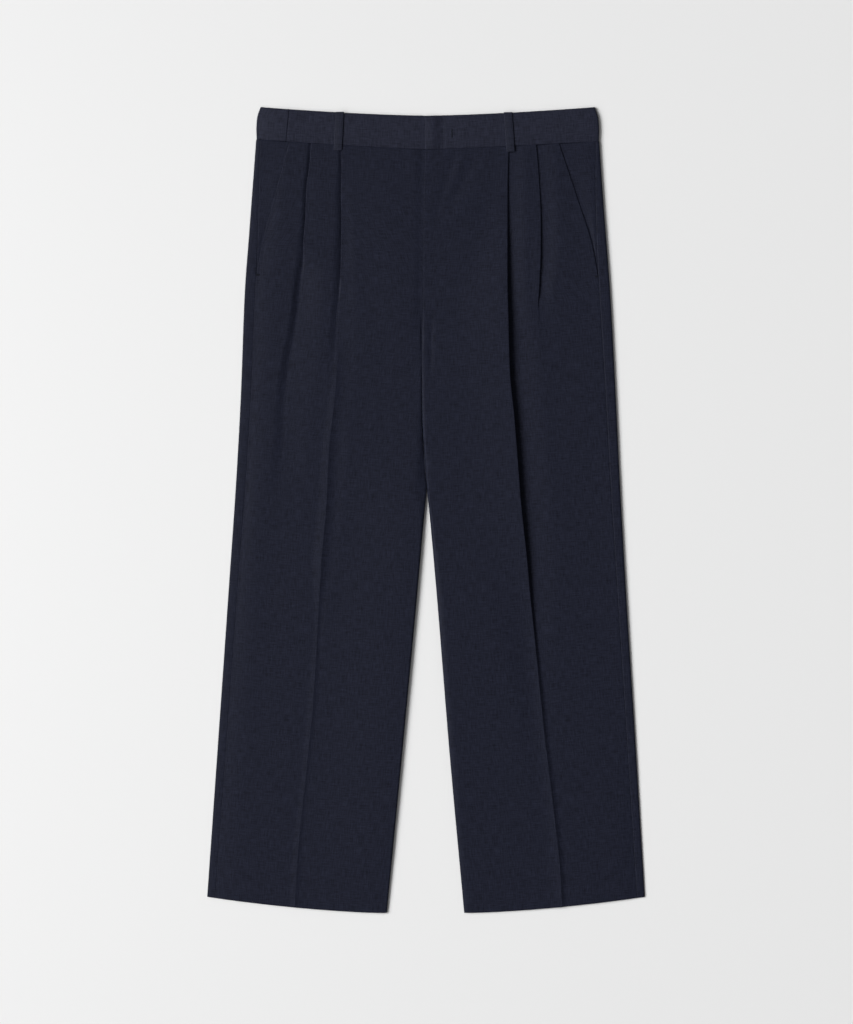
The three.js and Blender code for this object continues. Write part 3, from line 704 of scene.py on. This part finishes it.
def add_fold(section, fold, loft, settle_end, flat_pieces, rest):
    """A pleat or crease: the cloth dips, turns back under itself, rolls over the edge and settles."""
    last_drop = REACH * (1 - math.cos(fold.dip))
    section.ease(max(fold.start, section.w[-1] + SHORTEST), loft, flat_pieces)
    section.ease(fold.low, loft - fold.sink + last_drop, 12, slope_out=-math.tan(fold.dip))
    section.turn(REACH, -fold.dip, 0, 3)
    section.ease(fold.foot, loft - fold.sink, 2)
    section.turn(fold.foot_radius, 0, fold.turn, 9)
    section.line(fold.turn, fold.under, 4)
    section.turn(fold.edge_radius, fold.turn, -fold.slope, 11)
    section.line(-fold.slope, SHORTEST, 2)
    end = max(min(section.w[-1] + fold.settle, settle_end), section.w[-1] + SHORTEST)
    section.ease(end, rest, 16, slope_in=-math.tan(fold.slope))


def front_section(half, down):
    level = levels(half, down)
    loft = level.loft
    pleat = fold_places(at(PLEAT[half], down), loft)
    crease = fold_places(at(CREASE[half], down), loft)
    pocket = min(level.side - at(POCKET[half], down).inset, level.seam)
    joined = float(smooth((down - POCKET_END) / POCKET_JOIN))
    outer = pocket if down < POCKET_END else level.seam - SEAM_GAP / 2
    side_height = lerp(level.side_loft, loft, smooth((level.seam - outer) / SIDE_FALL))
    section = Section(-outer, side_height - SEAM_SINK * joined)
    section.ease(-outer + SEAM_WIDTH, side_height, 3)
    risen = max(min(-level.seam + SIDE_FALL, pleat.start - SHORTEST), section.w[-1] + SHORTEST)
    fall = (loft - side_height) / (risen - section.w[-1])
    section.ease(risen, loft, 10, slope_in=SIDE_STEEPNESS * fall)
    add_fold(section, pleat, loft, crease.start - SHORTEST, 8, loft)
    lapped = level.overlap if half == "right" else 0
    end = inner_end(level) + lapped
    dip_end = end - lapped - max(EDGE_WIDTH, level.inner_roll + 1)
    dip_start = dip_end - FLY_DIP_WIDTH
    inner_loft = level.inner_loft
    rest = inner_loft if half == "left" else loft
    add_fold(section, crease, loft, dip_start - REACH, 10, rest)
    section.ease(dip_start, inner_loft, 24)
    dip = LAYER_STEP * (1 - float(smooth((down - FLY_END) / FLY_SETTLE))) if half == "right" else 0
    section.ease(dip_end, inner_loft - dip, 8)
    flat = lapped + EDGE_WIDTH - SHORTEST
    section.roll_in(end, level.inner_roll, -(inner_loft - FLOOR_LAYER) / 2, level.rolled, flat, 8)
    return section


def tuck_in(rows, downs):
    """The cloth sinks to the waistband seam and ends half the seam's gap short of it."""
    rows[:, :, 2] -= (SEAM_SINK * (1 - smooth(downs / SEAM_TUCK)))[:, None]
    rows[0, :, 1] -= SEAM_GAP / 2


front_rows = {}
for half in ("right", "left"):
    sections = [front_section(half, down) for down in PANEL_DOWNS]
    rows = lay(half, PANEL_DOWNS, sections)
    rows[:, :, 2] += creases(rows[:, :, 0] - CENTRE_X, rows[:, :, 1] - HEM_LOW)
    tuck_in(rows, PANEL_DOWNS)
    front_rows[half] = rows
    hemmed = turned_up(rows, -1)
    piece = shell(f"wool_front_{half}", hemmed, CLOTH)
    dress(piece, f"front_panel_{half}", leg_wool, hemmed)


# Pocket facings. Each is a piece of the same wool behind the slanted pocket edge: it shows between that
# edge and the side seam, and runs on under the front.
POCKET_UNDERLAP = 14
FACING_SEAM_WIDTH = 2
FACING_SLOPE = 12
FACING_DEPTH = {"right": 0.6, "left": 1.15}


def facing_section(half, down):
    level = levels(half, down)
    start = -level.seam + SEAM_GAP / 2
    edge = -min(level.side - at(POCKET[half], down).inset, level.seam)
    shown = float(smooth((edge - start) / FACING_SLOPE))
    front = lerp(level.side_loft, level.loft, smooth((level.seam + edge) / SIDE_FALL))
    low = front - FACING_DEPTH[half]
    section = Section(start, lerp(low, level.side_loft - SEAM_SINK, shown))
    raised = start + FACING_SEAM_WIDTH
    section.ease(raised, lerp(low, level.side_loft, shown), 3)
    section.ease(max(edge - REACH, raised + SHORTEST), low, 12)
    section.ease(edge + POCKET_UNDERLAP, low, 6)
    return section


POCKET_DOWNS = spread((0, 6, 1.5), (6, POCKET_END, 4))
for half in ("right", "left"):
    rows = lay(half, POCKET_DOWNS, [facing_section(half, down) for down in POCKET_DOWNS])
    tuck_in(rows, POCKET_DOWNS)
    piece = shell(f"pocket_facing_wool_{half}", rows, CLOTH)
    dress(piece, f"pocket_facing_{half}", leg_wool, rows)


# Waistband. Three interfaced pieces of the same wool, joined at the right side and the centre back, with
# threads coloured lighter than the legs' as a painted sheen.
# They are sewn to the top of the panels, and the left end laps over the right one at the centre front.
BAND_CLOTH = 0.9
BAND_HEIGHT = 41.4
BAND_TOP_RISE = 11.1
BAND_TOP_BOW = 1.5
BACK_BAND_STEP = 1.5  # the back's top edge over the front's
BAND_FLOOR = 0.65
BAND_TOP = 4.9
BAND_ROLL = 2.4
BAND_OVERLAP_RAMP = 26
BAND_OVERHANG = 0.8  # the lapped end runs this far past the centre
BAND_END_DIP = 0.2
LAP_STEP = 0.95
LAP_VALLEY = 21  # from the centre to where the lap sinks in a little
LAP_CREST = 7
LAP_SINK = 1.6
LAP_END_SINK = 0.6
LAP_START_SINK = 1.3
BAND_JOIN = {"top": 171.8, "seam": 175.6}
BAND_JOIN_STEP = 0.6
BAND_SIDE_FALL = 2.7  # the piece round the right side falls this much from the join
BAND_SIDE = table("up side", [[0, 0.6], [0.3, 0.2], [0.65, 1.0], [1, 5.4]])
BAND_CROWN = 0.6  # the band is a little proud between its two edges
BAND_UPS = np.concatenate([
    [0, 0.015, 0.04, 0.08], np.linspace(0.14, 0.86, 10), [0.92, 0.96, 0.985, 1],
])


def band_back(half, up, fall=0):
    """The back of the band and its round side up to the front."""
    section = Section(-SEAM_GAP / 2, BAND_FLOOR)
    waist = OUTLINE[half]["side"][0]
    section.ease(-(waist - at(BAND_SIDE, up).side - BAND_CLOTH / 2 - BAND_ROLL), BAND_FLOOR, 30)
    section.roll_over(BAND_ROLL, BAND_ROLL, (BAND_FLOOR + fall - BAND_TOP) / 2, 6)
    return section


def band_join(up):
    return -lerp(BAND_JOIN["seam"], BAND_JOIN["top"], up)


def right_back_band(up):
    section = band_back("right", up, BAND_SIDE_FALL)
    end = band_join(up) - SEAM_GAP / 2
    top = BAND_TOP + BAND_JOIN_STEP
    section.ease(end, top, 20, slope_in=0.2, slope_out=0.05)
    return section


def right_front_band(up):
    section = Section(band_join(up) + SEAM_GAP / 2, BAND_TOP)
    section.ease(-BAND_OVERLAP_RAMP, BAND_TOP, 40)
    section.ease(-REACH, BAND_TOP - BAND_END_DIP, 10)
    section.ease(LAP_CREST, BAND_TOP - BAND_END_DIP, 6)
    section.ease(LAP_VALLEY, BAND_TOP - BAND_END_DIP - LAP_SINK, 8)
    section.ease(BAND_OVERLAP, BAND_TOP - BAND_END_DIP - LAP_SINK, 6)
    return section


def left_band(up):
    raised = BAND_TOP - BAND_END_DIP + LAP_STEP
    lap = -(BAND_OVERLAP + REACH)
    section = band_back("left", up)
    section.ease(lap - BAND_OVERLAP_RAMP, BAND_TOP, 36)
    section.ease(lap, raised - LAP_START_SINK, 12)
    section.ease(-LAP_VALLEY, raised - LAP_SINK, 8)
    section.ease(-LAP_CREST, raised, 8)
    section.ease(BAND_OVERHANG, raised - LAP_END_SINK, 8, slope_out=-0.1)
    return section


def lay_band(half, sections):
    """Rows of points between the waistband seam and the band's top edge."""
    rows = []
    other = "right" if half == "left" else "left"
    for up, section in zip(BAND_UPS, sections):
        w, z = np.array(section.w), np.array(section.z)
        waist = np.where(w > 0, OUTLINE[other]["side"][0], OUTLINE[half]["side"][0])
        share = np.clip((waist - np.abs(w)) / waist, 0, 1)
        bottom = np.where(w > 0, seam_y(other, share), seam_y(half, share)) + SEAM_GAP / 2
        step = BACK_BAND_STEP * smooth(((BAND_FLOOR + BAND_TOP) / 2 + 1 - z) / 2)
        top = HEM_TO_SEAM + BAND_HEIGHT + BAND_TOP_RISE * (1 - share) ** BAND_TOP_BOW + step
        y = lerp(bottom + BAND_CLOTH / 2, top - BAND_CLOTH / 2, up)
        crown = BAND_CROWN * (4 * up * (1 - up)) ** 0.5 - BAND_CROWN
        z = z + crown * smooth((z - BAND_FLOOR) / (BAND_TOP - BAND_FLOOR))
        x = -w if half == "left" else w
        rows.append(np.stack([x + CENTRE_X, y + HEM_LOW, z], axis=1))
    return np.array(rows[::-1])


# The band's threads are lighter than the legs': a painted sheen for the light that the band catches.
band_wool = wool("wool_band_painted_sheen", (0.0150, 0.0165, 0.0285), (0.0180, 0.0195, 0.0325))
BANDS = {
    "right_back": ("right", right_back_band),
    "right_front": ("right", right_front_band),
    "left": ("left", left_band),
}
band_rows = {}
for name, (half, section_at) in BANDS.items():
    rows = lay_band(half, [section_at(up) for up in BAND_UPS])
    band_rows[name] = rows
    piece = shell(f"band_wool_{name}", rows, BAND_CLOTH, rings=5)
    dress(piece, f"waistband_{name}", band_wool, rows)


# Belt loops. Two folded strips of the band's wool, sewn down at the top of the band and below its seam,
# each over the root of an inner pleat. Their threads are coloured darker than the band's as painted
# shade.
LOOP_WIDTH = 10.5
LOOP_CENTRE = {"right": 109.3, "left": 103.8}
LOOP_LEAN = {"right": 2.4, "left": 3.2}  # how far the foot stands out to the side
LOOP_CLOTH = 0.9
LOOP_BELOW_SEAM = 7
LOOP_TURN_DOWN = 3
LOOP_LIFT = 0.1
LOOP_FOOT = 5  # length of the foot that dips to its seam
LOOP_FOOT_DIP = 0.5
LOOP_BULGE = 0.3
LOOP_TILT = 0.95  # the side away from the light stands up more
LOOP_CLEAR = 0.35
LOOP_TURN = 1.2


def loop_rows(half):
    centre = LOOP_CENTRE[half]
    waist = OUTLINE[half]["side"][0]
    share = (waist - centre - LOOP_WIDTH / 2) / waist
    low = BAND_TOP + BAND_CLOTH / 2 + LOOP_LIFT + LOOP_CLOTH / 2
    bottom = float(seam_y(half, share)) - LOOP_BELOW_SEAM
    top = HEM_TO_SEAM + BAND_HEIGHT + BAND_TOP_RISE * (1 - share) ** BAND_TOP_BOW
    top += LOOP_CLEAR + LOOP_CLOTH / 2
    path = Section(bottom, low - LOOP_FOOT_DIP)
    path.ease(bottom + LOOP_FOOT, low, 5)
    path.ease((bottom + top) / 2, low + LOOP_BULGE, 10)
    path.ease(top - LOOP_TURN, low, 10)
    path.turn(LOOP_TURN, 0, -math.pi / 2, 6)
    path.line(-math.pi / 2, LOOP_TURN_DOWN, 3)
    side = 1 if half == "left" else -1
    rows = []
    leaning = LOOP_LEAN[half] * (0.5 - (np.array(path.w) - bottom) / (top - bottom))
    for across in np.linspace(-0.5, 0.5, 13):
        x = side * (centre + leaning) + across * (LOOP_WIDTH - LOOP_CLOTH) + CENTRE_X
        tucked = LOOP_TILT * (0.5 - across) ** 2
        rows.append(np.stack([x, np.array(path.w) + HEM_LOW, np.array(path.z) - tucked], axis=1))
    return np.array(rows)


# The loops' threads are darker than the band's: painted shade for loops that stand up towards the light.
loop_wool = wool("wool_loop_painted_shade", (0.0124, 0.0138, 0.0244), (0.0140, 0.0154, 0.0260))
for half in ("right", "left"):
    rows = loop_rows(half)
    piece = shell(f"belt_loop_wool_{half}", rows, LOOP_CLOTH, rings=5)
    dress(piece, f"belt_loop_{half}", loop_wool, rows, allowance=2.5)


# Sewing thread. Dark navy thread in the places where it comes to the face: bar tacks at the lower ends
# of the pockets, near the waistband's lapped end and at the band's right side, and the small blind
# stitches that hold the turned-up hems. Nodes lay the stitches along each line.
THREAD = 0.32
THREAD_LIFT = 0.2  # share of the thread by which its middle lies over the cloth
HEM_PITCH = 8
HEM_STITCH = 1.2
HEM_STITCH_UP = 33  # over the hem, just under the end of the turned-up cloth
HEM_STITCH_INSET = 16  # the stitches start this far inside the leg's two edges
TACK_PITCH = 0.42
TACK_LENGTH = 2.5
TACK_TURN = 78
POCKET_TACK = {"inset": 0.6, "over": 6, "points": 5}  # from the side seam and the pocket's lower end
BAND_TACKS = {
    "left": {"x": 32.2, "low": 969, "high": 980},
    "right_back": {"x": -207.5, "low": 966.4, "high": 968.6},
}


def make_stitch_tree():
    """Nodes that set a stitch at each step of a line, at an angle to the line's own heading."""
    tree = bpy.data.node_groups.new("stitch_line", "GeometryNodeTree")
    socket(tree, "Line", "INPUT", "NodeSocketGeometry")
    for name, value in (("Pitch", 0.002), ("Length", 0.001), ("Thickness", 0.0003), ("Turn", 0.0)):
        socket(tree, name, "INPUT", "NodeSocketFloat", value)
    socket(tree, "Thread", "INPUT", "NodeSocketMaterial")
    socket(tree, "Stitches", "OUTPUT", "NodeSocketGeometry")
    given = tree.nodes.new("NodeGroupInput")
    result = tree.nodes.new("NodeGroupOutput")
    curve = tree.nodes.new("GeometryNodeMeshToCurve")
    steps = tree.nodes.new("GeometryNodeResampleCurve")
    steps.mode = "LENGTH"
    heading = tree.nodes.new("FunctionNodeAlignRotationToVector")
    heading.axis = "X"
    tangent = tree.nodes.new("GeometryNodeInputTangent")
    turned = tree.nodes.new("FunctionNodeRotateRotation")
    turned.rotation_space = "LOCAL"
    angle = tree.nodes.new("ShaderNodeCombineXYZ")
    size = tree.nodes.new("ShaderNodeCombineXYZ")
    stitch = tree.nodes.new("GeometryNodeMeshIcoSphere")
    stitch.inputs["Radius"].default_value = 0.5
    stitch.inputs["Subdivisions"].default_value = 2
    placed = tree.nodes.new("GeometryNodeInstanceOnPoints")
    realized = tree.nodes.new("GeometryNodeRealizeInstances")
    coloured = tree.nodes.new("GeometryNodeSetMaterial")
    links = [
        (given.outputs["Line"], curve.inputs["Mesh"]),
        (curve.outputs[0], steps.inputs["Curve"]),
        (given.outputs["Pitch"], steps.inputs["Length"]),
        (steps.outputs[0], placed.inputs["Points"]),
        (stitch.outputs["Mesh"], placed.inputs["Instance"]),
        (tangent.outputs[0], heading.inputs["Vector"]),
        (heading.outputs[0], turned.inputs["Rotation"]),
        (given.outputs["Turn"], angle.inputs["Z"]),
        (angle.outputs[0], turned.inputs["Rotate By"]),
        (turned.outputs[0], placed.inputs["Rotation"]),
        (given.outputs["Length"], size.inputs["X"]),
        (given.outputs["Thickness"], size.inputs["Y"]),
        (given.outputs["Thickness"], size.inputs["Z"]),
        (size.outputs[0], placed.inputs["Scale"]),
        (placed.outputs[0], realized.inputs[0]),
        (realized.outputs[0], coloured.inputs["Geometry"]),
        (given.outputs["Thread"], coloured.inputs["Material"]),
        (coloured.outputs[0], result.inputs["Stitches"]),
    ]
    for start, stop in links:
        tree.links.new(start, stop)
    return tree


def on_cloth(rows, x, y, thickness):
    """The upper face of a cloth over a place in the pattern's frame."""
    points = rows.reshape(-1, 3)
    off = np.hypot(points[:, 0] - CENTRE_X - x, points[:, 1] - HEM_LOW - y)
    nearest = points[np.argsort(off)[:4]]
    return [x + CENTRE_X, y + HEM_LOW, nearest[:, 2].max() + thickness / 2 + THREAD * THREAD_LIFT]


def sew(name, lines, pitch, length, turn):
    """A mesh of the stitches along lines of points."""
    mesh = bpy.data.meshes.new(name)
    points = [point for line in lines for point in line]
    edges = []
    start = 0
    for line in lines:
        edges += [(start + k, start + k + 1) for k in range(len(line) - 1)]
        start += len(line)
    mesh.from_pydata((np.array(points) * MM).tolist(), edges, [])
    piece = add(name, mesh)
    modifier = piece.modifiers.new("stitches", "NODES")
    modifier.node_group = stitch_tree
    values = {
        "Pitch": pitch * MM, "Length": length * MM, "Thickness": THREAD * MM,
        "Turn": math.radians(turn), "Thread": thread_material,
    }
    for item in stitch_tree.interface.items_tree:
        if item.name in values:
            modifier[item.identifier] = values[item.name]
    evaluated = piece.evaluated_get(bpy.context.evaluated_depsgraph_get())
    result = bpy.data.meshes.new_from_object(evaluated)
    piece.modifiers.clear()
    piece.data = result
    result.name = name
    result.materials.clear()
    result.materials.append(thread_material)
    result.polygons.foreach_set("material_index", [0] * len(result.polygons))
    result.shade_smooth()
    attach(piece, "root")


def make_thread():
    """Spun thread: a matt navy with twisted plies."""
    material = new_material("thread", {"Roughness": 0.6, "Specular IOR Level": 0.15})
    tree = material.node_tree
    layout = tree.nodes.new("ShaderNodeTexCoord")
    plies = tree.nodes.new("ShaderNodeTexWave")
    plies.inputs["Scale"].default_value = 1800
    plies.inputs["Distortion"].default_value = 1.5
    tree.links.new(layout.outputs["Object"], plies.inputs["Vector"])
    dark, light = (0.0030, 0.0040, 0.0080, 1), (0.0070, 0.0085, 0.0150, 1)
    shade = link_mix(tree, plies.outputs["Fac"], dark, light)
    tree.links.new(shade, tree.nodes["Principled BSDF"].inputs["Base Color"])
    return material


stitch_tree = make_stitch_tree()
thread_material = make_thread()
hem_lines, tack_lines = [], []
for half, side in (("right", -1), ("left", 1)):
    rows = front_rows[half]
    down = LEG_LENGTH - HEM_STITCH_UP
    row = rows[int(np.argmin(abs(PANEL_DOWNS - down)))]
    outer, inner = at(OUTLINE[half], down).side, inner_edge(half, down)
    across = np.linspace(outer - HEM_STITCH_INSET, inner + HEM_STITCH_INSET, 60)
    height = np.interp(across, (side * (row[:, 0] - CENTRE_X))[::-1], row[::-1, 1]) - HEM_LOW
    hem_lines.append([on_cloth(rows, side * x, y, CLOTH) for x, y in zip(across, height)])
    level = levels(half, POCKET_END)
    place = level.seam - POCKET_TACK["inset"]
    y = float(seam_y(half, 0)) - POCKET_END + POCKET_TACK["over"]
    steps = range(POCKET_TACK["points"])
    tack_lines.append([on_cloth(rows, side * (place - k), y, CLOTH) for k in steps])
for name, tack in BAND_TACKS.items():
    places = np.linspace(tack["low"], tack["high"], 6)
    tack_lines.append([on_cloth(band_rows[name], tack["x"], y, BAND_CLOTH) for y in places])
sew("hem_stitches", hem_lines, HEM_PITCH, HEM_STITCH, 0)
sew("bar_tacks", tack_lines, TACK_PITCH, TACK_LENGTH, TACK_TURN)


# Studio: a pale floor that the trousers lie on, broad soft light from the left, and a camera straight
# above at the height that gives the photograph's frame. Lengths here are metres, apart from those of
# the lens and its sensor.
FLOOR_SIZE = 40
FLOOR_TONE = 0.785
FRAME_HEIGHT = 1.28
LENS = 85
SENSOR = 36
CAMERA_PLACE = (0.00066, -0.00272)
CLOTH_PLANE = 0.004
SUN_ELEVATION = 39
SUN_SPREAD = 36
SUNS = [("key", 2.75, 16), ("key_side", 0.75, -36)]  # energy, and the turn towards the waist
WINDOW_SIZE = 1.2
WINDOW_ENERGY = 17
WINDOW_PLACE = (-1.9, 0, 1.7)
WINDOW_TILT = -48
FILL = 0.25
WALL_COLOUR = (0.8, 0.8, 0.81, 1)

floor_mesh = bpy.data.meshes.new("floor")
corner = FLOOR_SIZE / 2
floor_mesh.from_pydata(
    [(-corner, -corner, 0), (corner, -corner, 0), (corner, corner, 0), (-corner, corner, 0)],
    [], [(0, 1, 2, 3)],
)
floor = add("floor", floor_mesh)
pale_floor = new_material("pale_floor", {
    "Base Color": (FLOOR_TONE, FLOOR_TONE, FLOOR_TONE, 1), "Roughness": 0.95, "Specular IOR Level": 0.1,
})
floor_mesh.materials.append(pale_floor)

for name, energy, azimuth in SUNS:
    light = bpy.data.lights.new(name, "SUN")
    light.energy = energy
    light.angle = math.radians(SUN_SPREAD)
    lamp = add(name, light)
    lamp.rotation_euler = (0, math.radians(SUN_ELEVATION - 90), math.radians(-azimuth))

window = bpy.data.lights.new("window", "AREA")
window.size = WINDOW_SIZE
window.energy = WINDOW_ENERGY
window_lamp = add("window", window)
window_lamp.location = WINDOW_PLACE
window_lamp.rotation_euler = (0, math.radians(WINDOW_TILT), 0)

world = bpy.data.worlds.new("studio")
world.use_nodes = True
bpy.context.scene.world = world
tree = world.node_tree
tree.nodes.clear()
seen = tree.nodes.new("ShaderNodeLightPath")
fill = tree.nodes.new("ShaderNodeBackground")
fill.inputs["Strength"].default_value = FILL
wall = tree.nodes.new("ShaderNodeBackground")
wall.inputs["Color"].default_value = WALL_COLOUR
either = tree.nodes.new("ShaderNodeMixShader")
out = tree.nodes.new("ShaderNodeOutputWorld")
tree.links.new(seen.outputs["Is Camera Ray"], either.inputs[0])
tree.links.new(fill.outputs[0], either.inputs[1])
tree.links.new(wall.outputs[0], either.inputs[2])
tree.links.new(either.outputs[0], out.inputs[0])

camera_data = bpy.data.cameras.new("camera")
camera_data.lens = LENS
camera_data.sensor_width = SENSOR
camera = add("camera", camera_data)
camera.location = (*CAMERA_PLACE, CLOTH_PLANE + FRAME_HEIGHT * LENS / SENSOR)
bpy.context.scene.camera = camera
bpy.context.scene.view_settings.view_transform = "Standard"
